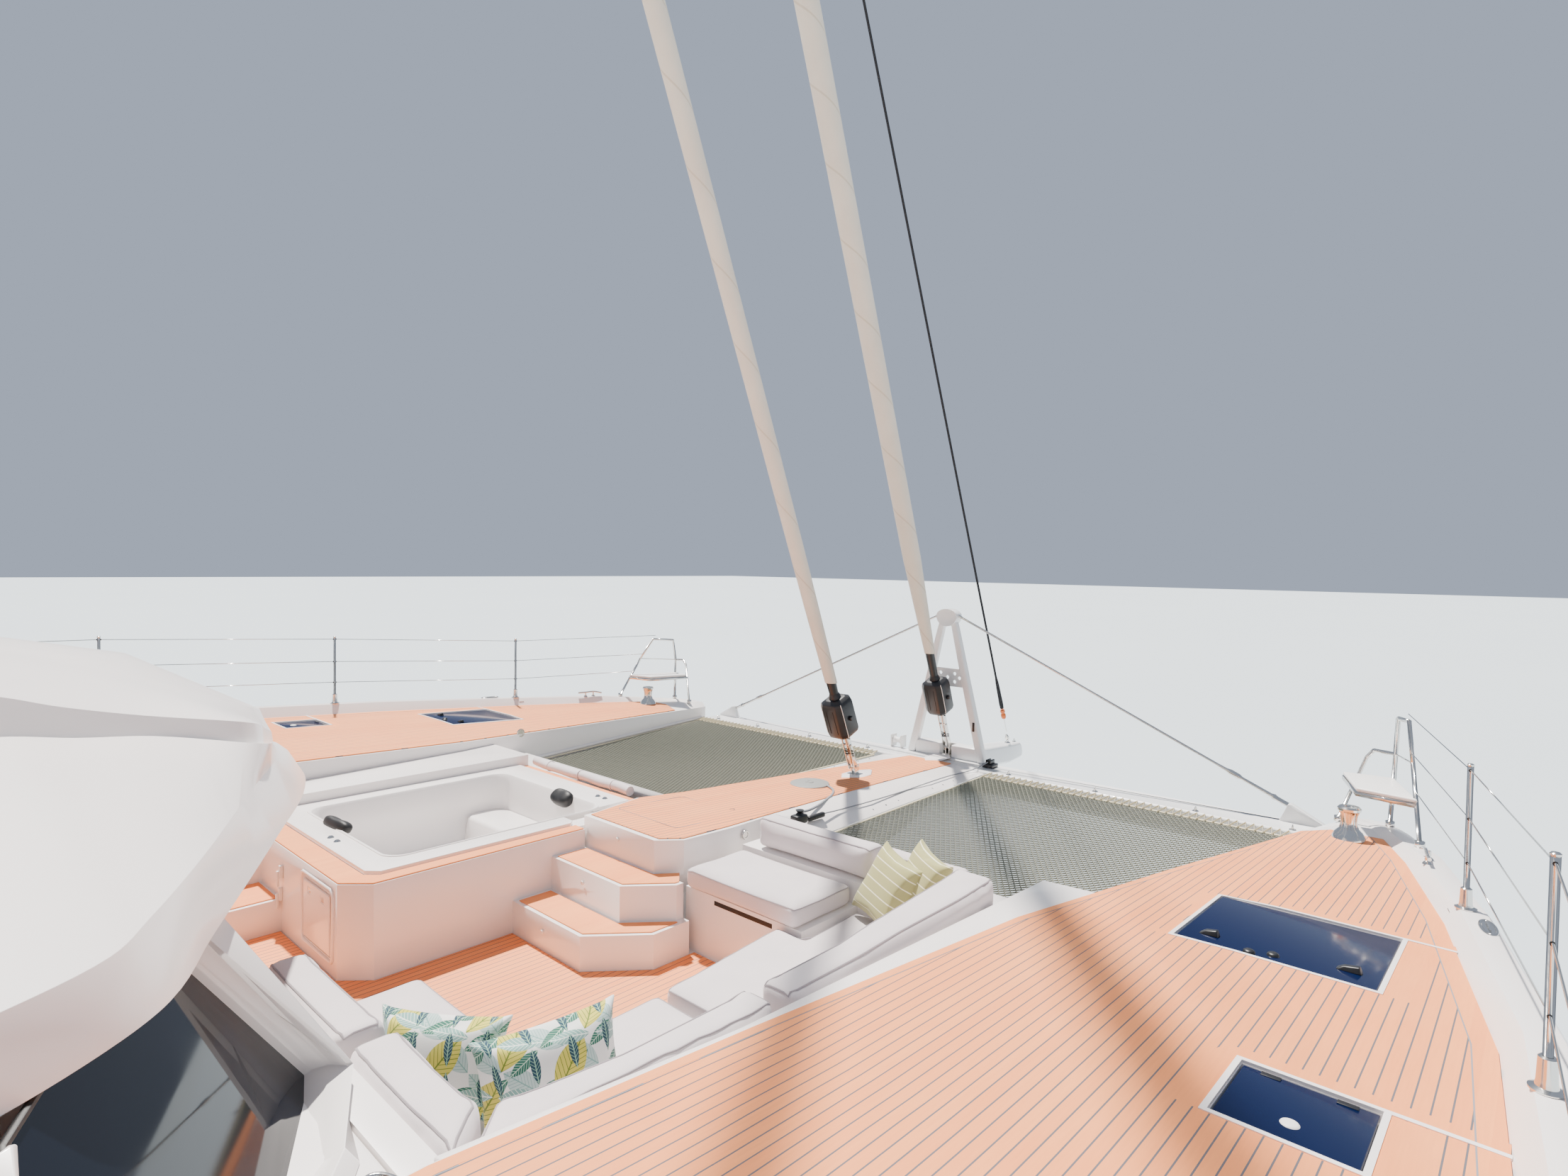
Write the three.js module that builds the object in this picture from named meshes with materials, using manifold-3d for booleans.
// Sailing catamaran with a sunken lounge and a plunge tub on its foredeck, afloat with its sails furled.
// Millimetres. +X is forward, +Y is to port, +Z is up. The origin is on the waterline, on the centreline,
// midway between the end of the bowsprit and the transoms.

import * as THREE from 'three';
import { mergeVertices } from 'three/addons/utils/BufferGeometryUtils.js';
import Module from 'manifold-3d';

const wasm = await Module();
wasm.setup();

// Driving dimensions
const GAP = 0.3;                 // left between pieces that touch
const SIDES = [['port', 1], ['starboard', -1]];

const DECK = 2532;               // side deck above the water, amidships
const DECK_FALL = 0.049;         // fall of the foredeck towards the bow
const FALL_START = 2986;         // where the foredeck starts to fall
const CAMBER = 60;               // the inner edge of the foredeck lies lower than its middle
const LEAN_TOP = 1900;           // below this the stems reach forward to the waterline
const WATERWAY = 210;            // from the outer edge of the planking to the hull's side

const UNDERWING = 1000;          // underside of the bridge deck
const SOLE = 1525;               // floor of the lounge, the saloon and the aft cockpit
const BRIDGE_AFT = -7600;
const BRIDGE_FRONT = 6750;
const MARGIN_TOP = 2100;         // top of the white margins along the aft edges of the nets
const INNER = 2830;              // inner side of the hulls along the bridge deck

const HOUSE_FRONT = 3000;
const HOUSE_AFT = -3800;
const WALL = 80;
const ROOF = 3150;               // underside of the roof
const ROOF_TOP = 3830;
const FLY_TOP = 4650;            // top of the flybridge coaming
const HARDTOP = 6000;

const MAST_X = 1400;
const MAST_TOP = 28000;
const MAST_CHORD = 550;
const MAST_WIDTH = 300;
const MAST_TAPER = 22000;        // the tube narrows from here to its top
const GOOSENECK = 6700;
const BOOM_LENGTH = 9000;

// Furled headsails on their stays. Columns: name, foot of the stay (x, z), head of the stay (z),
// seat of its toggle, radius of the rolled sail, lower and upper end of the sail, underside and top
// of the furler.
const HEADSAILS = [
  ['jib', 8517, 2103, 18500, 2088.5, 100, 3030, 17600, 2520, 2910],
  ['genoa', 10236, 2047, 25300, 2005.6, 130, 3190, 24300, 2530, 2930],
];
const STAY_HEAD = 120;           // the stay ends this far below its head, at the mast's tang

const BEAM_X = 10060;            // centre of the forward crossbeam
const BEAM_TOP = 2005;
const BEAM_HEIGHT = 240;
const BEAM_WIDTH = 360;
const BEAM_FRONT = BEAM_X + BEAM_WIDTH / 2;
const SADDLE_FRONT = 10330;      // front of the saddle that carries the A-frame and the bowsprit
const SPRIT_TIP = 11930;
const NET_THICK = 20;
const NET_HEIGHT = 1975;
const NET_FORE = 9780;           // forward edge of the nets, laced to the crossbeam across a gap

const PROP_X = -9050;
const PROP_Z = -1000;
const PROP_RADIUS = 270;
const RUDDER_X = -10300;
const HULL_AXIS = 4120;          // from the centreline to the rudder stocks and the propeller shafts
const RUDDER_SEAT = -450;
const KEEL_BOTTOM = -1650;

// Stations of one hull. Columns: x, inner side, outer side, height of the bulwark, centre, half width
// on the waterline, depth of the round body, forward lean of the section at the waterline.
const HULL_STATIONS = [
  [-11800, 3350, 4950, 5, 4150, 700, 250, 0],
  [-9600, 3050, 5130, 60, 4120, 800, 480, 0],
  [BRIDGE_AFT, INNER, 5230, 90, 4100, 830, 620, 0],
  [-3000, INNER, 5320, 110, 4080, 850, 760, 0],
  [1500, INNER, 5300, 115, 4060, 800, 780, 0],
  [4200, INNER, 5230, 115, 4030, 700, 740, 0],
  [6000, 2980, 5100, 110, 4000, 570, 680, 0],
  [7500, 3250, 4830, 95, 3960, 410, 600, 0],
  [8700, 3490, 4540, 85, 3930, 250, 510, 80],
  [9500, 3650, 4285, 40, 3910, 130, 440, 180],
  [9950, 3745, 4110, 5, 3900, 50, 400, 300],
];

// Deck hatches of the port hull, mirrored to starboard. Columns: name, aft edge, forward edge, inner, outer.
const HATCHES = [
  ['fore', 6268, 7057, 3685, 4484],
  ['mid', 4829, 5214, 4243, 4634],
];
const LID = 28;                  // thickness of a deck hatch lid
const LID_PLAY = 6;

// Stanchions: distance forward of the origin
const STANCHIONS = [7574, 5544, 3500, 1450, -600, -2650, -4700, -6750];
const STANCHION_HEIGHT = 745;

// Port pulpit (x, y, z): the outer hoop from its aft foot to its forward foot, then the inner leg
const HOOP = [[8963, 4374, 2312.5], [9238, 4297, 2813], [9422, 4250, 3075], [9701, 4157, 3050],
  [9739, 4143, 2774], [9713, 4125, 2230.5]];
const INNER_LEG = [[9739, 4143, 2774], [9759, 4006, 2780], [9772, 3958, 2713], [9700, 3800, 2205.3]];
const BOW_SEAT = [[9078, 4341], [9160, 3982], [9680, 3818], [9725, 4140]];
const BOW_SEAT_HEIGHT = 2540;
const WIRE_DROPS = [25, 275, 505];

const FINISHES = {
  gelcoat: { color: 0xf3f2ef, roughness: 0.25, metalness: 0 },
  teak: { color: 0xe5b896, roughness: 0.8, metalness: 0 },
  fabric: { color: 0xcfc8c8, roughness: 0.95, metalness: 0 },
  green: { color: 0xb7bc82, roughness: 0.95, metalness: 0 },
  print: { color: 0x9fae7c, roughness: 0.95, metalness: 0 },
  glass: { color: 0x10182c, roughness: 0.05, metalness: 0 },
  net: { color: 0x8d8a78, roughness: 0.9, metalness: 0 },
  steel: { color: 0xc9c9c9, roughness: 0.2, metalness: 1 },
  bronze: { color: 0xb98f4e, roughness: 0.35, metalness: 1 },
  sail: { color: 0xd9d3c7, roughness: 0.85, metalness: 0 },
  spar: { color: 0xf0f0f0, roughness: 0.35, metalness: 0 },
  black: { color: 0x15161a, roughness: 0.4, metalness: 0 },
  iron: { color: 0x7d8288, roughness: 0.6, metalness: 0.4 },
};

const boat = new THREE.Group();

function add(name, geometry, finish) {
  const mesh = new THREE.Mesh(geometry, new THREE.MeshStandardMaterial(FINISHES[finish]));
  mesh.name = name;
  boat.add(mesh);
}

// Solids joined to and cut from each other

function toSolid(geometry) {
  const bare = geometry.clone();
  bare.deleteAttribute('normal');
  bare.deleteAttribute('uv');
  const merged = mergeVertices(bare, 1e-3);
  return new wasm.Manifold(new wasm.Mesh({
    numProp: 3,
    vertProperties: new Float32Array(merged.attributes.position.array),
    triVerts: new Uint32Array(merged.index.array),
  }));
}

function toGeometry(solid) {
  const mesh = solid.getMesh();
  const geometry = new THREE.BufferGeometry();
  geometry.setAttribute('position', new THREE.BufferAttribute(mesh.vertProperties, 3));
  geometry.setIndex(new THREE.BufferAttribute(mesh.triVerts, 1));
  return geometry;
}

function join(...parts) {
  return toGeometry(parts.map(toSolid).reduce((sum, part) => sum.add(part)));
}

function cut(body, ...tools) {
  return toGeometry(tools.map(toSolid).reduce((rest, tool) => rest.subtract(tool), toSolid(body)));
}

function common(a, b) {
  return toGeometry(toSolid(a).intersect(toSolid(b)));
}

// Simple forms

function box(x0, x1, y0, y1, z0, z1) {
  const geometry = new THREE.BoxGeometry(x1 - x0, y1 - y0, z1 - z0);
  return geometry.translate((x0 + x1) / 2, (y0 + y1) / 2, (z0 + z1) / 2);
}

function extrude(outline, depth) {
  const shape = new THREE.Shape(outline.map(([u, v]) => new THREE.Vector2(u, v)));
  return new THREE.ExtrudeGeometry(shape, { depth, bevelEnabled: false });
}

// A plan outline (x, y) between two heights
function plate(outline, z0, z1) {
  return extrude(outline, z1 - z0).translate(0, 0, z0);
}

// A side outline (x, z) between two places across the boat
function sidePlate(outline, y0, y1) {
  const turn = new THREE.Matrix4().makeBasis(
    new THREE.Vector3(1, 0, 0), new THREE.Vector3(0, 0, 1), new THREE.Vector3(0, -1, 0));
  return extrude(outline, y1 - y0).applyMatrix4(turn).translate(0, y1, 0);
}

function rod(from, to, radius, topRadius = radius, sides = 8) {
  const a = new THREE.Vector3(...from);
  const b = new THREE.Vector3(...to);
  const along = b.clone().sub(a);
  const geometry = new THREE.CylinderGeometry(topRadius, radius, along.length(), sides);
  geometry.applyQuaternion(new THREE.Quaternion().setFromUnitVectors(
    new THREE.Vector3(0, 1, 0), along.clone().normalize()));
  return geometry.translate(...a.add(b).multiplyScalar(0.5).toArray());
}

function signedVolume(points, index) {
  let sum = 0;
  for (let i = 0; i < index.length; i += 3) {
    const [a, b, c] = [0, 1, 2].map((k) => new THREE.Vector3(...points[index[i + k]]));
    sum += a.dot(b.cross(c));
  }
  return sum;
}

// A closed skin through outlines that all have the same number of points, its ends closed by fans
function loft(rings) {
  const count = rings[0].length;
  const last = (rings.length - 1) * count;
  const middle = (ring) => [0, 1, 2].map((k) => ring.reduce((sum, p) => sum + p[k], 0) / count);
  const points = [...rings.flat(), middle(rings[0]), middle(rings.at(-1))];
  const [startCentre, endCentre] = [points.length - 2, points.length - 1];
  const index = [];
  for (let i = 0; i < count; i++) {
    const next = (i + 1) % count;
    for (let r = 0; r < last; r += count) {
      index.push(r + i, r + next, r + i + count, r + next, r + next + count, r + i + count);
    }
    index.push(next, i, startCentre, last + i, last + next, endCentre);
  }
  if (signedVolume(points, index) < 0) index.reverse();
  const geometry = new THREE.BufferGeometry();
  geometry.setAttribute('position', new THREE.Float32BufferAttribute(points.flat(), 3));
  geometry.setIndex(index);
  return geometry;
}

function mirrored(geometry) {
  const copy = geometry.index ? geometry.clone() : mergeVertices(geometry.clone());
  copy.scale(1, -1, 1);
  copy.index.array.reverse();
  return copy;
}

function toSide(geometry, side) {
  return side > 0 ? geometry : mirrored(geometry);
}

// The hull's own lines, worked out from its stations

function station(x, column) {
  const last = HULL_STATIONS.length - 1;
  const at = Math.min(Math.max(HULL_STATIONS.findIndex((row) => row[0] >= x), 1), last);
  const [a, b] = [HULL_STATIONS[at - 1], HULL_STATIONS[at]];
  return a[column] + (b[column] - a[column]) * (x - a[0]) / (b[0] - a[0]);
}

const innerSide = (x) => station(x, 1);
const outerSide = (x) => station(x, 2);
const bulwark = (x) => station(x, 3);
const deckHeight = (x) => DECK - DECK_FALL * Math.max(0, x - FALL_START);
const camber = (x) => CAMBER * Math.min(1, Math.max(0, (x - FALL_START) / 1200));

// The section of the port hull at x, from the inner edge of the deck over the bulwark and round the bottom
function hullRing(x) {
  const [inner, outer, rail, centre, half, depth, lean] = [1, 2, 3, 4, 5, 6, 7].map((c) => station(x, c));
  const deck = deckHeight(x);
  const plank = Math.max(outer - WATERWAY, inner + 0.3 * (outer - inner));
  const mix = (from, to, t) => from + (to - from) * t;
  const low = centre + half;
  const lowIn = centre - half;
  const section = [
    [inner, deck - camber(x)],
    [mix(inner, plank, 0.4), deck],
    [plank, deck],
    [mix(plank, outer, 0.3), deck + rail],
    [mix(plank, outer, 0.85), deck + rail],
    [outer, deck + rail - 0.5 * Math.min(rail, 90)],
    [mix(low, outer, 0.96), 1500],
    [mix(low, outer, 0.68), 800],
    [mix(low, outer, 0.3), 350],
  ];
  for (let i = 0; i <= 8; i++) {
    const turn = Math.PI * i / 8;
    section.push([centre + half * Math.cos(turn), -depth * Math.sin(turn)]);
  }
  section.push([mix(lowIn, inner, 0.2), 350], [mix(lowIn, inner, 0.6), 700], [inner, UNDERWING],
    [inner, LEAN_TOP]);
  return section.map(([y, z]) => [x + lean * Math.max(0, 1 - Math.abs(z) / LEAN_TOP), y, z]);
}

function keel() {
  const outline = [[-1500, -500], [-1350, KEEL_BOTTOM], [1150, KEEL_BOTTOM], [1650, -500]];
  const side = sidePlate(outline, 4080 - 130, 4080 + 130);
  const plan = plate([[-1600, 4080], [-900, 4210], [700, 4210], [1700, 4080], [700, 3950], [-900, 3950]],
    KEEL_BOTTOM, -500);
  return common(side, plan);
}

function driveLeg() {
  const strut = plate([[PROP_X + 60, HULL_AXIS], [PROP_X + 220, HULL_AXIS + 45], [PROP_X + 420, HULL_AXIS],
    [PROP_X + 220, HULL_AXIS - 45]], PROP_Z, -300);
  const pod = rod([PROP_X + 40, HULL_AXIS, PROP_Z], [PROP_X + 460, HULL_AXIS, PROP_Z], 75, 40, 10);
  return [strut, pod];
}

const ENGINE_BAY = { x0: -8500, x1: -7250, y0: 3720, y1: 4580, z0: 400 };
const STERN_STEP = { first: -9000, run: 450, rise: 345, count: 6 };

// Tilts a level piece, made about (x, 0, 0), so that it lies on the falling foredeck at x
function onDeck(geometry, x) {
  return geometry.translate(-x, 0, 0).rotateY(Math.atan(DECK_FALL)).translate(x, 0, deckHeight(x));
}

function hatchBlock([, x0, x1, y0, y1], grow, bottom, top) {
  return onDeck(box(x0 - grow, x1 + grow, y0 - grow, y1 + grow, bottom, top), (x0 + x1) / 2);
}

function hull() {
  const xs = [-11800, -10700, -9600, BRIDGE_AFT, -5300, -3000, -700, 1500, FALL_START, 4200, 5100, 6000,
    6750, 7500, 8100, 8700, 9100, 9500, 9750, 9950];
  const rudderTube = rod([RUDDER_X, HULL_AXIS, -200], [RUDDER_X, HULL_AXIS, RUDDER_SEAT], 100, 100, 12);
  const body = join(loft(xs.map(hullRing)), keel(), ...driveLeg(), rudderTube);
  const cutters = [box(ENGINE_BAY.x0, ENGINE_BAY.x1, ENGINE_BAY.y0, ENGINE_BAY.y1, ENGINE_BAY.z0, 3000)];
  for (let i = 0; i < STERN_STEP.count; i++) {
    const floor = DECK - STERN_STEP.rise * (i + 1);
    cutters.push(box(-12000, STERN_STEP.first - STERN_STEP.run * i, 2500, 5500, floor, 3200));
  }
  for (const hatch of HATCHES) {
    cutters.push(hatchBlock(hatch, LID_PLAY, -LID - GAP, 50), hatchBlock(hatch, -45, -260, 40));
  }
  return cut(body, ...cutters);
}

for (const [name, side] of SIDES) {
  add(`hull_${name}`, toSide(hull(), side), 'gelcoat');
  for (const hatch of HATCHES) {
    add(`hatch_${hatch[0]}_${name}`, toSide(hatchBlock(hatch, 0, -LID, 0), side), 'glass');
  }
}

// Engines and the lids over them

for (const [name, side] of SIDES) {
  const { x0, x1, y0, y1, z0 } = ENGINE_BAY;
  add(`engine_${name}`, toSide(box(x0 + 80, x1 - 80, y0 + 130, y1 - 130, z0 + GAP, z0 + 850), side), 'iron');
  const lid = box(x0 - 60, x1 + 60, y0 - 60, y1 + 60, DECK + GAP, DECK + 40);
  add(`engine_lid_${name}`, toSide(lid, side), 'gelcoat');
}

// Rudders and propellers

function rudder() {
  const section = [[0.25, 0], [0.2, 0.05], [0, 0.075], [-0.4, 0.05], [-0.75, 0.005], [-0.75, -0.005],
    [-0.4, -0.05], [0, -0.075], [0.2, -0.05]];
  const ring = (z, chord) => section.map(([u, v]) => [RUDDER_X + u * chord, HULL_AXIS + v * chord, z]);
  const top = RUDDER_SEAT - GAP - 50;
  return join(loft([ring(top, 760), ring(-1500, 520)]),
    rod([RUDDER_X, HULL_AXIS, top - 60], [RUDDER_X, HULL_AXIS, RUDDER_SEAT - GAP], 70, 70, 12));
}

function propeller() {
  const hub = rod([PROP_X - 120, HULL_AXIS, PROP_Z], [PROP_X + 40 - GAP, HULL_AXIS, PROP_Z], 40, 60, 12);
  const blades = [0, 1, 2].map((i) => {
    const outline = [[-30, 30], [-75, 150], [-55, PROP_RADIUS - 20], [0, PROP_RADIUS],
      [60, PROP_RADIUS - 40], [75, 150], [30, 30]];
    const blade = extrude(outline, 14).translate(0, 0, -7).rotateY(Math.PI / 2 - 0.6);
    return blade.rotateX(2 * Math.PI * i / 3).translate(PROP_X - 45, HULL_AXIS, PROP_Z);
  });
  return join(hub, ...blades);
}

for (const [name, side] of SIDES) {
  add(`rudder_${name}`, toSide(rudder(), side), 'gelcoat');
  add(`propeller_${name}`, toSide(propeller(), side), 'bronze');
}

// The bridge deck between the hulls, with the rails of the tender platform on its aft face

const RAIL = { y: 1800, width: 120, depth: 90, bottom: 150 };

function bridgeDeck() {
  const edge = (x) => innerSide(x) - GAP;
  const outline = [[BRIDGE_AFT, -edge(BRIDGE_AFT)], [4200, -edge(4200)], [6000, -edge(6000)],
    [BRIDGE_FRONT, -edge(BRIDGE_FRONT)], [BRIDGE_FRONT, edge(BRIDGE_FRONT)], [6000, edge(6000)],
    [4200, edge(4200)], [BRIDGE_AFT, edge(BRIDGE_AFT)]];
  const rails = SIDES.map(([, side]) => {
    const y = side * RAIL.y;
    return box(BRIDGE_AFT - RAIL.depth, BRIDGE_AFT + 10, y - RAIL.width / 2, y + RAIL.width / 2,
      RAIL.bottom, SOLE);
  });
  return join(plate(outline, UNDERWING, SOLE), ...rails);
}
add('bridge_deck', bridgeDeck(), 'gelcoat');

const PLATFORM = { x0: -10700, y: 2650, top: 1150, thick: 120 };

function tenderPlatform() {
  const face = BRIDGE_AFT - RAIL.depth - GAP;
  const tray = box(PLATFORM.x0, face - 60, -PLATFORM.y, PLATFORM.y,
    PLATFORM.top - PLATFORM.thick, PLATFORM.top);
  const shoes = SIDES.map(([, side]) => box(face - 120, face, side * RAIL.y - 160, side * RAIL.y + 160,
    PLATFORM.top - 350, PLATFORM.top));
  return join(tray, ...shoes);
}
add('tender_platform', tenderPlatform(), 'gelcoat');

// The central nacelle with its steps. Columns: x, port half width, starboard half width, top,
// port and starboard half width at the nets, half width of the underside, underside.
const FOOT = SOLE + GAP;
const NACELLE = [
  [5657, 362, 468, 2226, 362, 468, 300, FOOT],
  [5822, 400, 590, 2218, 400, 590, 300, FOOT],
  [6300, 550, 575, 2195, 550, 575, 300, FOOT],
  [BRIDGE_FRONT + GAP, 500, 500, 2165, 500, 500, 300, FOOT],
  [BRIDGE_FRONT + 10, 500, 500, 2164, 725, 725, 300, 1300],
  [8000, 410, 410, 2111, 690, 690, 280, 1360],
  [9000, 345, 345, 2062, 665, 665, 250, 1500],
  [BEAM_X - BEAM_WIDTH / 2 - GAP, 285, 285, 2019, 645, 645, 220, 1780],
];

// Treads below the nacelle's own top. Columns: top, face, start of the chamfer, end of the chamfer (x, y).
const STEPS = [
  [1995, 5356, -487, 5631, -739],
  [1758, 5048, -487, 5390, -801],
];

function nacelle() {
  const rings = NACELLE.map(([x, port, starboard, top, netPort, netStarboard, half, bottom]) => [
    [x, port, top], [x, netPort, NET_HEIGHT], [x, half, bottom], [x, -half, bottom],
    [x, -netStarboard, NET_HEIGHT], [x, -starboard, top]]);
  const upright = box(5657, BRIDGE_FRONT, -468, 328, FOOT, NET_HEIGHT);
  const treads = STEPS.map(([top, face, knee, x, y]) => plate(
    [[face, 328], [face, knee], [x, y], [5690, y], [5690, 328]], FOOT, top));
  return join(loft(rings), upright, ...treads);
}
add('nacelle', nacelle(), 'gelcoat');

// Forward crossbeam, its A-frame and the bowsprit

const BEAM_END = 3650;
const BEAM_PIN = { x: 9905, z: 1950, radius: 20 };

// Triangular web that carries a chainplate, across the beam near its end. Corners (y, z).
const FIN = [[3300, BEAM_TOP - 10], [3645, BEAM_TOP - 10], [3645, 2025], [3396, 2159], [3370, 2159]];
const FIN_X = 10170;

function crossbeam() {
  const [z0, z1] = [BEAM_TOP - BEAM_HEIGHT, BEAM_TOP];
  const [x0, x1] = [BEAM_X - BEAM_WIDTH / 2, BEAM_FRONT];
  const outline = [[x0, z0 + 70], [x0 + 60, z0], [x1 - 90, z0], [x1, z0 + 110], [x1, z1 - 15],
    [x1 - 15, z1], [x0 + 15, z1], [x0, z1 - 15]];
  const pinEnd = innerSide(BEAM_PIN.x - BEAM_PIN.radius) - GAP;
  const ends = SIDES.flatMap(([, side]) => [
    loft([-30, 30].map((dx) => FIN.map(([y, z]) => [FIN_X + dx, side * y, z]))),
    rod([BEAM_PIN.x, side * (BEAM_END - 20), BEAM_PIN.z], [BEAM_PIN.x, side * pinEnd, BEAM_PIN.z],
      BEAM_PIN.radius),
  ]);
  return join(sidePlate(outline, -BEAM_END, BEAM_END), ...ends);
}
add('crossbeam', crossbeam(), 'gelcoat');

// One leg of the A-frame on the port side. Columns: x, y, z, half width.
const AFRAME_LEG = [[10195, 450, BEAM_TOP + GAP, 46], [10195, 300, 2600, 44], [10195, 175, 3100, 41],
  [10195, 55, 3580, 36]];
const AFRAME_CAP = { x: 10195, z: 3590, radius: 112, depth: 120 };
const AFRAME_WEB = { y: 225, bottom: 2800, top: 3000, thick: 16 };
const SADDLE = { x: 10165, y: 395, top: 2150, bottom: 1850, slot: 75, wall: 30 };

function aFrame() {
  const leg = (side) => loft(AFRAME_LEG.map(([x, y, z, r]) => [[x - r, side * y - r, z],
    [x + r, side * y - r, z], [x + r, side * y + r, z], [x - r, side * y + r, z]]));
  const { x, z, radius, depth } = AFRAME_CAP;
  const cap = rod([x - depth / 2, 0, z], [x + depth / 2, 0, z], radius, radius, 16);
  const web = box(x - AFRAME_WEB.thick / 2, x + AFRAME_WEB.thick / 2, -AFRAME_WEB.y, AFRAME_WEB.y,
    AFRAME_WEB.bottom, AFRAME_WEB.top);
  const top = box(SADDLE.x, SADDLE_FRONT, -SADDLE.y, SADDLE.y, BEAM_TOP + GAP, SADDLE.top);
  const front = box(BEAM_FRONT + GAP, SADDLE_FRONT, -SADDLE.y, SADDLE.y, SADDLE.bottom, SADDLE.top);
  const slot = box(SADDLE.x - 10, SADDLE_FRONT - SADDLE.wall, -SADDLE.slot, SADDLE.slot,
    BEAM_TOP + GAP, SADDLE.top + 10);
  return join(leg(1), leg(-1), cap, web, cut(join(top, front), slot));
}
add('a_frame', aFrame(), 'gelcoat');

// Sections of the bowsprit. Columns: x, half width, underside, top.
const SPRIT = [[SADDLE_FRONT + GAP, 210, 1850, 2062], [11430, 145, 1745, 1967], [11800, 105, 1750, 1935],
  [SPRIT_TIP, 85, 1765, 1870]];

function bowsprit() {
  return loft(SPRIT.map(([x, half, z0, z1]) => [[x, -half, z0], [x, half, z0], [x, half * 0.8, z1],
    [x, -half * 0.8, z1]]));
}
add('bowsprit', bowsprit(), 'gelcoat');

// Nets between the nacelle, the crossbeam and the hulls

function net() {
  const aft = BRIDGE_FRONT + 20;
  const outer = [aft, 7500, 8700, 9500, NET_FORE].map((x) => [x, innerSide(x) - GAP]);
  const flank = [[NET_FORE, 660], [9000, 675], [8000, 700], [aft, 735]];
  return plate([...outer, ...flank], NET_HEIGHT - NET_THICK / 2, NET_HEIGHT + NET_THICK / 2);
}
for (const [name, side] of SIDES) add(`net_${name}`, toSide(net(), side), 'net');

// The sunken lounge: one C-shaped bench with its backs, open to port

const LOUNGE = {
  aft: HOUSE_FRONT + 10, seatAft: 3130, seatFore: 6290, fore: BRIDGE_FRONT - 10,
  port: -590, forePort: -690, foreSeatFront: 5690, foreSeatSide: -1750,
  seat: 1800, foreSeat: 1950, cushion: 150, back: 2220, aftBack: 2380,
};
const SEAT_TOP = LOUNGE.seat + LOUNGE.cushion;
const FORE_SEAT_TOP = LOUNGE.foreSeat + LOUNGE.cushion;

// Front edge of the aft and side seats (x, y), from the port end to the foot of the fore seat
const SEAT_EDGE = [[3998, LOUNGE.port], [3998, -1645], [4738, -1640], [5470, -1545], [5732, -1519]];

// The starboard bolster in plan. Columns: x, inner edge, outer edge.
const BOLSTER = [[3325, -2506, -2700], [3800, -2565, -2735], [4456, -2588, -2780], [5010, -2583, -2775],
  [5240, -2550, -2770], [LOUNGE.seatFore, -2490, -2750]];
const BOLSTER_TOP = 2430;
const FORE_BOLSTER = { x0: 6305, x1: 6490, y0: -2480, y1: -800, top: 2340 };

function loungeBench() {
  const { aft, seatAft, seatFore, fore, port, forePort, foreSeatFront, foreSeatSide, seat } = LOUNGE;
  const hullEdge = (x) => [x, -innerSide(x) + 10];
  const inset = SEAT_EDGE.map(([x, y]) => [x - 20, y - 20]);
  const low = plate([[aft, port], [aft, -2700], [seatFore, -2700], [seatFore, -1519], ...inset.reverse()],
    FOOT, seat);
  const high = box(foreSeatFront + 60, seatFore + 20, foreSeatSide + 10, forePort - 10,
    FOOT, LOUNGE.foreSeat);
  const behind = BOLSTER.map(([x, , outer]) => [x, outer - 5]);
  const sideBack = plate([[aft, -2705], ...behind, [fore, -2755], hullEdge(fore), hullEdge(6000),
    hullEdge(4200), hullEdge(aft)], FOOT, LOUNGE.back);
  const aftBack = box(aft, seatAft - 5, -2700, port, seat - 10, LOUNGE.aftBack);
  const foreBack = box(seatFore + 5, fore, -2760, forePort, FOOT, MARGIN_TOP);
  return join(low, high, sideBack, aftBack, foreBack);
}
add('lounge_bench', loungeBench(), 'gelcoat');

function seatCushions() {
  const { seatAft, seatFore, port, seat, foreSeatFront, foreSeatSide } = LOUNGE;
  const aroundForeSeat = [[foreSeatFront + 50, -1519], [foreSeatFront + 50, foreSeatSide - 5],
    [seatFore, foreSeatSide - 5], [seatFore, -2680]];
  return plate([...SEAT_EDGE, ...aroundForeSeat, [seatAft, -2680], [seatAft, port]], seat + GAP, SEAT_TOP);
}
add('seat_cushions', seatCushions(), 'fabric');
add('seat_cushion_fore', box(LOUNGE.foreSeatFront, LOUNGE.seatFore, LOUNGE.foreSeatSide, LOUNGE.forePort,
  LOUNGE.foreSeat + GAP, FORE_SEAT_TOP), 'fabric');

function sideBackCushions() {
  const inner = BOLSTER.map(([x, y]) => [x, y]);
  const outer = BOLSTER.map(([x, , y]) => [x, y]).reverse();
  const along = plate([[3300, -2506], ...inner, ...outer, [3300, -2700]], SEAT_TOP + GAP, BOLSTER_TOP);
  return join(box(LOUNGE.seatAft + 5, 3310, -2700, -930, SEAT_TOP + GAP, BOLSTER_TOP), along);
}
add('back_cushions', sideBackCushions(), 'fabric');
add('back_cushion_fore', box(FORE_BOLSTER.x0, FORE_BOLSTER.x1, FORE_BOLSTER.y0, FORE_BOLSTER.y1,
  MARGIN_TOP + GAP, FORE_BOLSTER.top), 'fabric');

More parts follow.
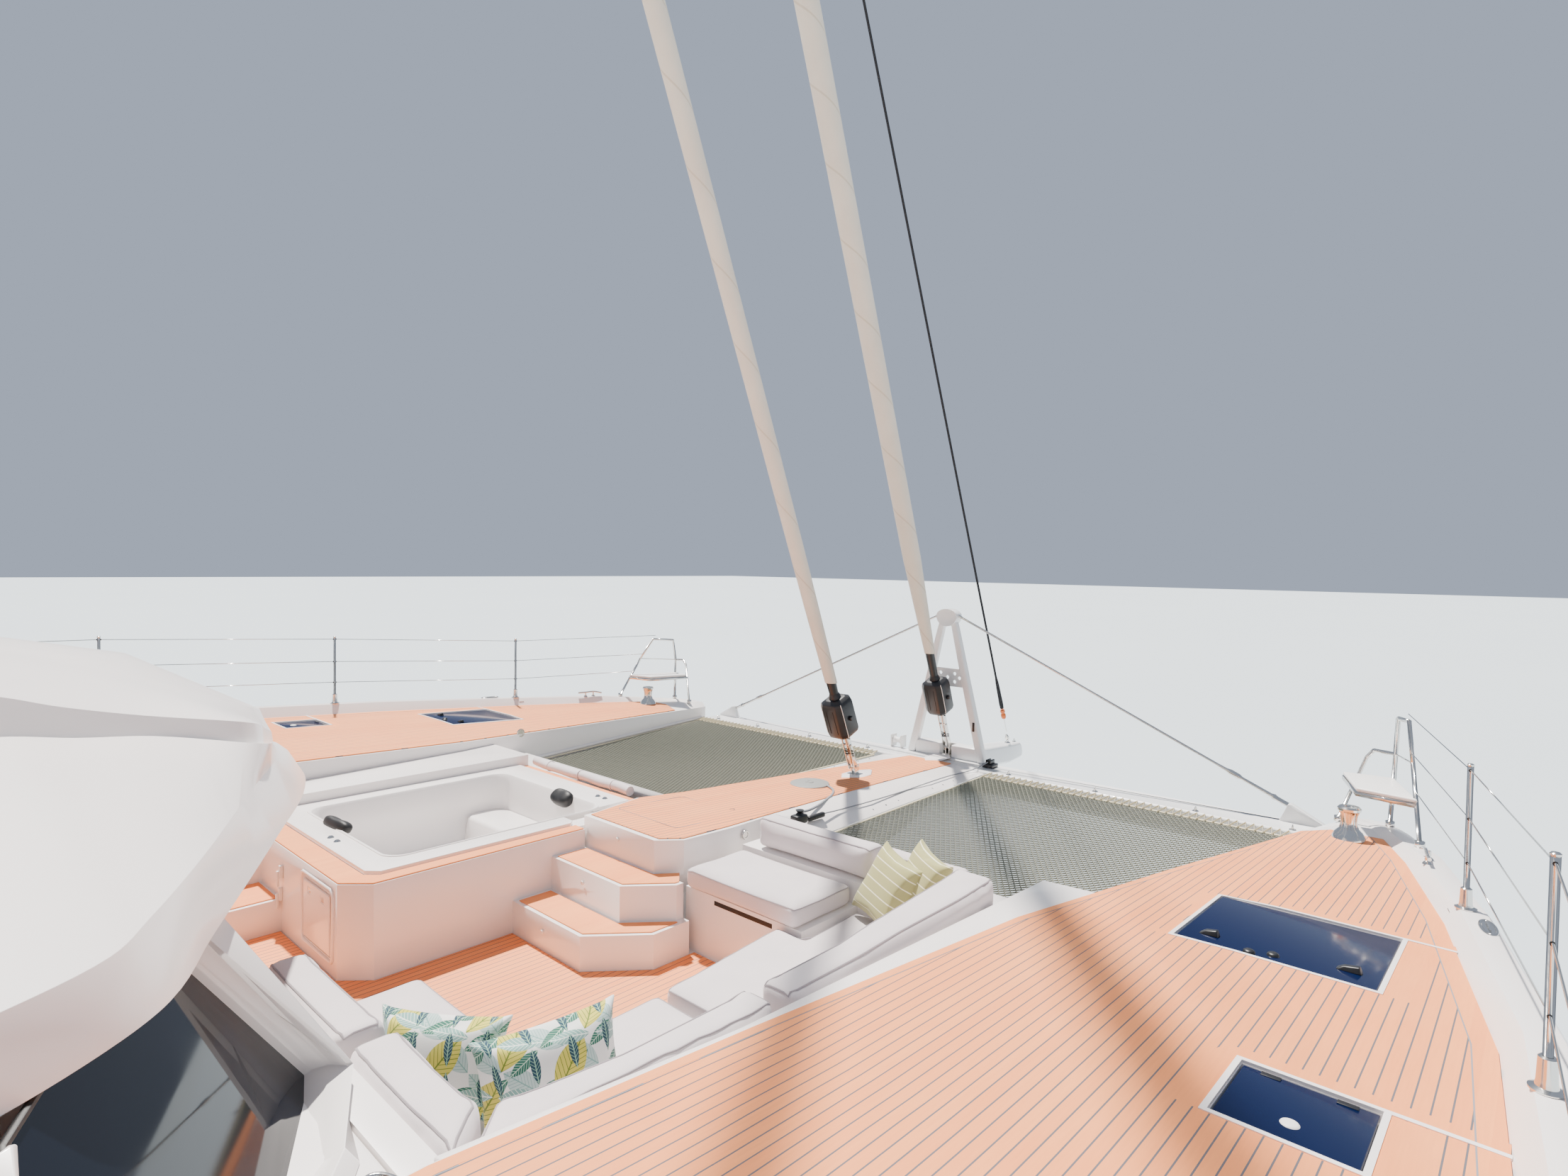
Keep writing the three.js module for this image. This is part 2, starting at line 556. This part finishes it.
// A pillow that stands on edge on a seat
function pillow(x, y, seat, width, height, thick, turn) {
  const geometry = new THREE.SphereGeometry(0.5, 10, 6).scale(width, thick, height).rotateZ(turn);
  geometry.computeBoundingBox();
  return geometry.translate(x, y, seat + GAP - geometry.boundingBox.min.z);
}
add('print_pillows', join(pillow(3510, -1850, SEAT_TOP, 640, 430, 170, 1.95),
  pillow(3745, -2225, SEAT_TOP, 600, 440, 220, -0.2)), 'print');
add('green_pillows', join(pillow(6143, -2060, SEAT_TOP, 460, 480, 140, 1.27),
  pillow(6213, -2250, SEAT_TOP, 440, 420, 140, 1.45)), 'green');

// The plunge tub in its surround, with the access door in its aft face and the steps up to the port deck

const TUB = { x0: 3950, x1: 6390, y0: 328, y1: 2820, top: 2130, rim: 30 };
const BASIN = { x0: 4330, x1: 6020, y0: 640, y1: 2210, bottom: 1600, wall: 25 };
const LEDGE_TOP = 2240;
const TREAD = { count: 3, first: 1760, rise: 235, y0: 1500, depth: 440 };

function tubSurround() {
  const { x0, x1, y0, y1, top } = TUB;
  const outline = [[x0, y0 + 158], [x0 + 157, y0], [5640, y0], [5640, 420], [5822, 420], [6300, 570],
    [x1, 570], [x1, 2400], [x0, 2400]];
  const well = box(BASIN.x0 - 80, BASIN.x1 + 80, BASIN.y0 - 60, BASIN.y1 + 60, FOOT + 30, top + 10);
  const body = cut(plate(outline, FOOT, top), well);
  const hullEdge = (x) => [x, innerSide(x) - 10];
  const ledge = plate([[x0, 2390], [x1, 2390], hullEdge(x1), hullEdge(6000), hullEdge(4200), [x0, y1]],
    FOOT, LEDGE_TOP);
  const fore = BRIDGE_FRONT - 10;
  const margin = plate([[x1 - 10, 570], [fore, 530], hullEdge(fore), hullEdge(x1 - 10)], FOOT, MARGIN_TOP);
  const treads = Array.from({ length: TREAD.count }, (_, i) => box(HOUSE_FRONT + 20, x0 + 10,
    TREAD.y0 + TREAD.depth * i, y1, FOOT, TREAD.first + TREAD.rise * i));
  const doorway = box(x0 - 10, x0 + DOOR.thick + GAP, DOOR.y0 - 8, DOOR.y1 + 8, DOOR.z0 - 8, DOOR.z1 + 8);
  return cut(join(body, ledge, margin, ...treads), doorway);
}

const DOOR = { y0: 560, y1: 1060, z0: 1640, z1: 2050, thick: 28 };

function tub() {
  const { x0, x1, y0, y1, bottom, wall } = BASIN;
  const { top, rim } = TUB;
  const ring = (grow, z) => [[x0 - grow, y0 - grow, z], [x1 + grow, y0 - grow, z],
    [x1 + grow, y1 + grow, z], [x0 - grow, y1 + grow, z]];
  const outside = loft([ring(-120, bottom - wall), ring(wall, top + 1)]);
  const inside = loft([ring(-150, bottom), ring(0, top + rim + 20)]);
  const lip = plate([[4130, 520], [4190, 450], [5640, 450], [5645, 650], [6290, 650], [6290, 2380],
    [4130, 2380]], top + GAP, top + rim);
  return cut(join(outside, lip), inside);
}
add('tub_surround', tubSurround(), 'gelcoat');
add('tub', tub(), 'gelcoat');
add('tub_door', box(TUB.x0, TUB.x0 + DOOR.thick, DOOR.y0, DOOR.y1, DOOR.z0, DOOR.z1), 'gelcoat');

// Deckhouse: leaning front with its window band, side walls, aft bulkhead with a sliding door

const SILL = 2450;
const FRONT_FACE = 2980;         // the leaning front starts here at the sill
const LEAN = (FRONT_FACE - 2450) / (ROOF - SILL);
const WINDOW = { y: 2050, z0: 2560, z1: 3060, glass: 12, sunk: 30 };

function leaningSlab(y, x, thick, z0, z1) {
  const at = (z) => x - LEAN * (z - SILL);
  return sidePlate([[at(z0), z0], [at(z1), z1], [at(z1) - thick, z1], [at(z0) - thick, z0]], -y, y);
}

function houseFront() {
  const low = box(2920, HOUSE_FRONT, -INNER + 10, INNER - 10, FOOT, SILL + 80);
  const dash = box(2000, 2930, -INNER + 10, INNER - 10, SILL, SILL + 80);
  const high = leaningSlab(2400, FRONT_FACE, WALL, SILL + 60, ROOF - GAP);
  const opening = box(2000, 3100, -WINDOW.y, WINDOW.y, WINDOW.z0, WINDOW.z1);
  return join(low, dash, cut(high, opening));
}
add('house_front', houseFront(), 'gelcoat');
add('front_windows', leaningSlab(WINDOW.y - GAP, FRONT_FACE - WINDOW.sunk, WINDOW.glass,
  WINDOW.z0 + GAP, WINDOW.z1 - GAP), 'glass');

// Corners of a side wall's outer face on the port side (x, y)
const SIDE_WALL = [[2280, 2480], [1000, 3130], [HOUSE_AFT, 3380]];
const SIDE_GLASS = { x0: -3300, x1: 700, z0: 2640, z1: 3060 };

function wallAlong(points, inset, thick, z0, z1) {
  const outer = points.map(([x, y]) => [x, y - inset]);
  const inner = points.map(([x, y]) => [x, y - inset - thick]).reverse();
  return plate([...outer, ...inner], z0, z1);
}

function sideWall() {
  const { x0, x1, z0, z1 } = SIDE_GLASS;
  return cut(wallAlong(SIDE_WALL, 0, WALL, DECK + GAP, ROOF - GAP), box(x0, x1, 2800, 3600, z0, z1));
}

function sideGlass() {
  const { x0, x1, z0, z1 } = SIDE_GLASS;
  const band = wallAlong(SIDE_WALL, 30, 12, z0 + GAP, z1 - GAP);
  return common(band, box(x0 + GAP, x1 - GAP, 2800, 3600, z0, z1));
}
for (const [name, side] of SIDES) {
  add(`house_side_${name}`, toSide(sideWall(), side), 'gelcoat');
  add(`side_window_${name}`, toSide(sideGlass(), side), 'glass');
}

const AFT_DOOR = { y0: -900, y1: 900, z1: 2950, thick: 40, lap: 60 };

function houseAft() {
  const wall = join(box(HOUSE_AFT - WALL, HOUSE_AFT - GAP, -INNER + 10, INNER - 10, FOOT, ROOF - GAP),
    box(HOUSE_AFT - WALL, HOUSE_AFT - GAP, -3300, 3300, DECK + GAP, ROOF - GAP));
  const lap = AFT_DOOR.lap;
  return cut(wall, box(HOUSE_AFT - WALL - 10, HOUSE_AFT + 10, AFT_DOOR.y0 + lap, AFT_DOOR.y1 - lap,
    FOOT - 10, AFT_DOOR.z1 - lap));
}
add('house_aft', houseAft(), 'gelcoat');
add('aft_door', box(HOUSE_AFT - WALL - AFT_DOOR.thick - GAP, HOUSE_AFT - WALL - GAP,
  AFT_DOOR.y0, AFT_DOOR.y1, FOOT, AFT_DOOR.z1), 'glass');

// The roof with its brow over the front windows, rising to the flybridge floor. Half outlines (x, y).

const BROW = [[3550, 0], [3450, 520], [3130, 1180], [2680, 2060], [2420, 2600], [2000, 2850], [1200, 3230],
  [0, 3480], [-3500, 3640], [-7600, 3600], [-7700, 3500]];
const CROWN = [[2900, 0], [2850, 400], [2600, 900], [2250, 1500], [1900, 2050], [1400, 2400], [800, 2650],
  [0, 2800], [-3500, 2950], [-6700, 2950], [-6800, 2850]];

function wholeOutline(half) {
  return [...half, ...half.slice(1).reverse().map(([x, y]) => [x, -y])];
}

function browRing(half, z, droop) {
  return wholeOutline(half).map(([x, y]) => [x, y, z - droop * Math.max(0, (x - 2500) / 1050)]);
}

const shrink = (half, k, dx) => half.map(([x, y]) => [x - dx, y * k]);
const POST = { x: -7530, y: 2760, radius: 55 };

function roof() {
  const skin = loft([browRing(shrink(BROW, 0.95, 150), ROOF, 120), browRing(BROW, ROOF + 60, 160),
    browRing(BROW, ROOF + 200, 160), browRing(shrink(BROW, 0.97, 90), ROOF + 270, 180),
    browRing(shrink(CROWN, 1.06, -450), ROOF + 290, 200), browRing(CROWN, ROOF_TOP - 60, 0),
    browRing(shrink(CROWN, 0.9, 300), ROOF_TOP, 0)]);
  const posts = SIDES.map(([, side]) => rod([POST.x, side * POST.y, FOOT],
    [POST.x, side * POST.y, ROOF + 20], POST.radius, POST.radius, 12));
  return join(cut(skin, box(-9000, 2530, -4000, 4000, 2800, ROOF)), ...posts);
}
add('roof', roof(), 'gelcoat');

// Flybridge coaming with its helm console and benches, the wheel and the hardtop on its posts

const FLY = { x0: -6300, x1: 700, y: 2450, wall: 120, floor: ROOF_TOP, corner: 900, gate: 700 };
const CONSOLE = { x0: -450, x1: 300, y0: -1500, y1: -500, height: 1050 };
const HELM_BENCH = { x0: -2100, x1: -1500, y: 1600, height: 480 };
const FLY_SOFA = { aft: -5900, fore: -3300, side: -2350, depth: 600, port: 400, height: 450 };

function flybridge() {
  const { x0, x1, y, wall, floor, corner, gate } = FLY;
  const outline = (inset) => [[x0 + inset, -y + inset], [x1 - corner, -y + inset], [x1 - inset, -y + corner],
    [x1 - inset, y - corner], [x1 - corner, y - inset], [x0 + inset, y - inset]];
  const shell = cut(plate(outline(0), floor + GAP, FLY_TOP), plate(outline(wall), floor + 40, FLY_TOP + 10));
  const open = cut(shell, box(x0 - 10, x0 + wall + 10, -gate, gate, floor + 40, FLY_TOP + 10));
  const foot = floor + 20;
  const console = box(CONSOLE.x0, CONSOLE.x1, CONSOLE.y0, CONSOLE.y1, foot, floor + CONSOLE.height);
  const bench = box(HELM_BENCH.x0, HELM_BENCH.x1, -HELM_BENCH.y, HELM_BENCH.y,
    foot, floor + HELM_BENCH.height);
  const { aft, fore, side, depth, port } = FLY_SOFA;
  const sofa = plate([[aft, side], [fore, side], [fore, side + depth], [aft + depth, side + depth],
    [aft + depth, port], [aft, port]], foot, floor + FLY_SOFA.height);
  return join(open, console, bench, sofa);
}
add('flybridge', flybridge(), 'gelcoat');

const WHEEL = { x: -520, y: -1000, z: FLY.floor + 780, radius: 330, rim: 16, hub: 45, spoke: 10 };

function wheel() {
  const { x, y, z, radius } = WHEEL;
  const rim = new THREE.TorusGeometry(radius, WHEEL.rim, 8, 24).rotateY(Math.PI / 2).translate(x, y, z);
  const hub = rod([x - 25, y, z], [CONSOLE.x0 - GAP, y, z], WHEEL.hub, WHEEL.hub, 12);
  const spokes = [0, 1, 2].map((i) => {
    const turn = 2 * Math.PI * i / 3;
    return rod([x, y, z], [x, y + radius * Math.sin(turn), z + radius * Math.cos(turn)],
      WHEEL.spoke, WHEEL.spoke, 6);
  });
  return join(rim, hub, ...spokes);
}
add('helm_wheel', wheel(), 'black');

// Outline of the hardtop and the feet of its posts, (x, y)
const HARDTOP_OUTLINE = [[900, -1500], [900, 1500], [300, 2400], [-6000, 2450], [-6300, 2000],
  [-6300, -2000], [-6000, -2450], [300, -2400]];
const HARDTOP_POSTS = [[100, 2020], [-5700, 2390]];
const HARDTOP_THICK = 110;
const HARDTOP_POST_RADIUS = 45;

function hardtop() {
  const top = plate(HARDTOP_OUTLINE, HARDTOP, HARDTOP + HARDTOP_THICK);
  const posts = HARDTOP_POSTS.flatMap(([x, y]) => SIDES.map(([, side]) => rod([x, side * y, FLY_TOP + GAP],
    [x, side * y, HARDTOP + 20], HARDTOP_POST_RADIUS, HARDTOP_POST_RADIUS, 10)));
  return join(top, ...posts);
}
add('hardtop', hardtop(), 'gelcoat');

// Mast with its spreaders, boom, stowed mainsail and cap shrouds

const SPREADERS = [[11500, 1350], [18500, 1100]];
const SHROUD_TOP = 24800;
const CHAINPLATE = { x: 300, y: 5218 };
const SHROUD_RADIUS = 9;
const SHROUD_SAG = 2.1;          // the leaning foot's lowest edge lies this far below its middle

function ellipse(x, y, z, length, width, count = 14) {
  return Array.from({ length: count }, (_, i) => {
    const turn = 2 * Math.PI * i / count;
    return [x + length / 2 * Math.cos(turn), y + width / 2 * Math.sin(turn), z];
  });
}

const MAST_FACE = MAST_X + MAST_CHORD / 2;

// The line of a headsail's stay as a function of height
function stayLine(footX, footZ, headZ) {
  return (z) => [footX + (MAST_FACE + 30 - footX) * (z - footZ) / (headZ - footZ), 0, z];
}

function mast() {
  const tube = loft([ellipse(MAST_X, 0, ROOF_TOP + GAP, MAST_CHORD, MAST_WIDTH),
    ellipse(MAST_X, 0, MAST_TAPER, MAST_CHORD, MAST_WIDTH),
    ellipse(MAST_X, 0, MAST_TOP, MAST_CHORD * 0.6, MAST_WIDTH * 0.7)]);
  const arms = SPREADERS.flatMap(([z, reach]) => SIDES.map(([, side]) =>
    rod([MAST_X, 0, z], [MAST_X - 350, side * reach, z + 60], 45, 30, 8)));
  const bracket = box(MAST_X - MAST_CHORD / 2 - 90, MAST_X - 200, -50, 50, GOOSENECK - 130, GOOSENECK + 130);
  const tangs = HEADSAILS.map(([, footX, footZ, headZ]) => {
    const at = stayLine(footX, footZ, headZ);
    return rod(at(headZ - STAY_HEAD + GAP), at(headZ + 400), 30, 30, 8);
  });
  return join(tube, ...arms, bracket, ...tangs);
}
add('mast', mast(), 'spar');

const BOOM_X = MAST_X - MAST_CHORD / 2 - 90;
const BOOM_START = BOOM_X - 205;
const TONGUE = 40;               // half width of the boom's tongue, which turns on the gooseneck pin

function boom() {
  const section = (x, half, z0, z1) => [[x, -half * 0.6, z0], [x, half * 0.6, z0], [x, half, z1],
    [x, -half, z1]];
  const end = BOOM_X - BOOM_LENGTH;
  const body = loft([section(BOOM_START, 160, GOOSENECK - 150, GOOSENECK + 150),
    section(end, 110, GOOSENECK - 20, GOOSENECK + 180)]);
  const pin = BOOM_X - GAP - TONGUE;
  return join(body, box(BOOM_START - 10, pin, -TONGUE, TONGUE, GOOSENECK - 60, GOOSENECK + 60),
    rod([pin, 0, GOOSENECK - 60], [pin, 0, GOOSENECK + 60], TONGUE, TONGUE, 16));
}
add('boom', boom(), 'spar');

// Sections of the folded mainsail. Columns: x, half width, underside above the gooseneck, height.
const STACK = [[BOOM_START - 20, 200, 151, 1150], [BOOM_X - 3000, 210, 162, 850],
  [BOOM_X - BOOM_LENGTH + 900, 140, 182, 380]];

function sailStack() {
  return loft(STACK.map(([x, half, lift, height]) => {
    const z = GOOSENECK + lift;
    return [[x, -half * 0.5, z], [x, half * 0.5, z], [x, half, z + height * 0.3],
      [x, half * 0.45, z + height * 0.8], [x, 0, z + height], [x, -half * 0.45, z + height * 0.8],
      [x, -half, z + height * 0.3]];
  }));
}
add('mainsail_stack', sailStack(), 'sail');

for (const [name, side] of SIDES) {
  const foot = [CHAINPLATE.x, side * CHAINPLATE.y, DECK + bulwark(CHAINPLATE.x) + SHROUD_SAG + GAP];
  const head = [MAST_X - 60, side * (MAST_WIDTH / 2 + 5), SHROUD_TOP];
  add(`cap_shroud_${name}`, rod(foot, head, SHROUD_RADIUS, SHROUD_RADIUS, 8), 'steel');
}

// Furled headsails and their furlers

for (const [name, footX, footZ, headZ, seat, radius, low, high, under, top] of HEADSAILS) {
  const at = stayLine(footX, footZ, headZ);
  add(name, join(rod(at(low), at(low + 900), radius * 0.45, radius, 12),
    rod(at(low + 880), at(high), radius, radius * 0.35, 12),
    rod(at(high - 20), at(headZ - STAY_HEAD), 18, 18, 8)), 'sail');
  const links = SIDES.map(([, side]) => rod([at(seat)[0], side * 35, seat + 50],
    [at(under + 20)[0], side * 35, under + 20], 12, 12, 6));
  const housing = rod(at(under), at(top), 150, 150, 10);
  const toggle = box(footX - 45, footX + 45, -60, 60, seat, seat + 75);
  const neck = rod(at(top - 10), at(low - GAP), 40, 40, 10);
  add(`${name}_furler`, join(housing, toggle, ...links, neck), 'black');
}

// Capstans, and the guard rails with a pulpit at each bow

const CAPSTAN = { x: 9106, y: 3957, height: 235 };

function capstan() {
  const profile = [[0, 0], [95, 0], [100, 22], [85, 50], [56, 80], [48, 125], [52, 185], [70, 210],
    [72, 225], [60, CAPSTAN.height], [0, CAPSTAN.height]];
  const turned = new THREE.LatheGeometry(profile.map(([r, z]) => new THREE.Vector2(r, z)), 16);
  return turned.rotateX(Math.PI / 2).translate(CAPSTAN.x, CAPSTAN.y, deckHeight(CAPSTAN.x - 100) + GAP);
}

const POST_BASE = 26;
const railLine = (x) => outerSide(x) - 115;
const bulwarkTop = (x) => deckHeight(x) + bulwark(x);
const railFoot = (x) => Math.max(bulwarkTop(x - POST_BASE), bulwarkTop(x + POST_BASE)) + GAP;

function guardRail() {
  const foot = (x, lift = 0) => [x, railLine(x), railFoot(x) + lift];
  const base = (x) => rod(foot(x), foot(x, 60), POST_BASE, POST_BASE, 8);
  const tops = STANCHIONS.map((x) => foot(x, STANCHION_HEIGHT));
  const posts = STANCHIONS.flatMap((x) => [base(x), rod(foot(x, 10), foot(x, STANCHION_HEIGHT), 14, 14, 6)]);
  const wires = WIRE_DROPS.flatMap((drop) => {
    const line = tops.map(([x, y, z]) => [x, y, z - drop]);
    const ends = [hoopAt(line[0][2]), ...line];
    return line.map((to, i) => rod(ends[i], to, 4, 4, 4));
  });
  return join(...posts, ...pulpit(), ...wires);
}

// The place on the aft side of the pulpit's hoop at a height
function hoopAt(z) {
  const at = z < HOOP[1][2] ? 0 : 1;
  const share = (z - HOOP[at][2]) / (HOOP[at + 1][2] - HOOP[at][2]);
  return HOOP[at].map((value, k) => value + (HOOP[at + 1][k] - value) * share);
}

function pulpit() {
  const tube = (points, radius) => points.slice(1).flatMap((to, i) => [rod(points[i], to, radius, radius, 6),
    new THREE.SphereGeometry(radius, 6, 4).translate(...points[i])]);
  const [aftFoot, foreFoot, innerFoot] = [HOOP[0], HOOP.at(-1), INNER_LEG.at(-1)];
  const flange = ([x, y, z]) => rod([x, y, z], [x, y, z + 40], POST_BASE + 4, POST_BASE + 4, 8);
  const raised = ([x, y, z]) => [x, y, z + 20];
  return [flange(aftFoot), flange(foreFoot), flange(innerFoot),
    ...tube([raised(aftFoot), ...HOOP.slice(1, -1), raised(foreFoot)], 16),
    ...tube([...INNER_LEG.slice(0, -1), raised(innerFoot)], 14), rod(HOOP[4], HOOP[1], 6, 6, 6),
    plate(BOW_SEAT, BOW_SEAT_HEIGHT, BOW_SEAT_HEIGHT + 30)];
}

for (const [name, side] of SIDES) {
  add(`capstan_${name}`, toSide(capstan(), side), 'steel');
  add(`guard_rail_${name}`, toSide(guardRail(), side), 'steel');
}

// Aft cockpit

const COCKPIT_SOFA = { aft: -7450, fore: -4600, side: -2700, depth: 650, port: 300, height: 450 };
const TABLE = { x0: -6450, x1: -4950, y0: -1750, y1: -750, height: 740, thick: 40, leg: 70 };
const TABLE_FOOT = { x0: -6000, x1: -5400, y0: -1450, y1: -1050, height: 30 };

function cockpitBench() {
  const { aft, fore, side, depth, port, height } = COCKPIT_SOFA;
  return plate([[aft, side], [fore, side], [fore, side + depth], [aft + depth, side + depth],
    [aft + depth, port], [aft, port]], FOOT, SOLE + height);
}
add('cockpit_bench', cockpitBench(), 'gelcoat');

function cockpitTable() {
  const { x0, x1, y0, y1, leg } = TABLE;
  const underside = SOLE + TABLE.height - TABLE.thick;
  const top = box(x0, x1, y0, y1, underside, SOLE + TABLE.height);
  const [x, y] = [(x0 + x1) / 2, (y0 + y1) / 2];
  const foot = box(TABLE_FOOT.x0, TABLE_FOOT.x1, TABLE_FOOT.y0, TABLE_FOOT.y1,
    FOOT, SOLE + TABLE_FOOT.height);
  return join(top, rod([x, y, FOOT], [x, y, underside + 10], leg, leg, 12), foot);
}
add('cockpit_table', cockpitTable(), 'teak');

export default boat;
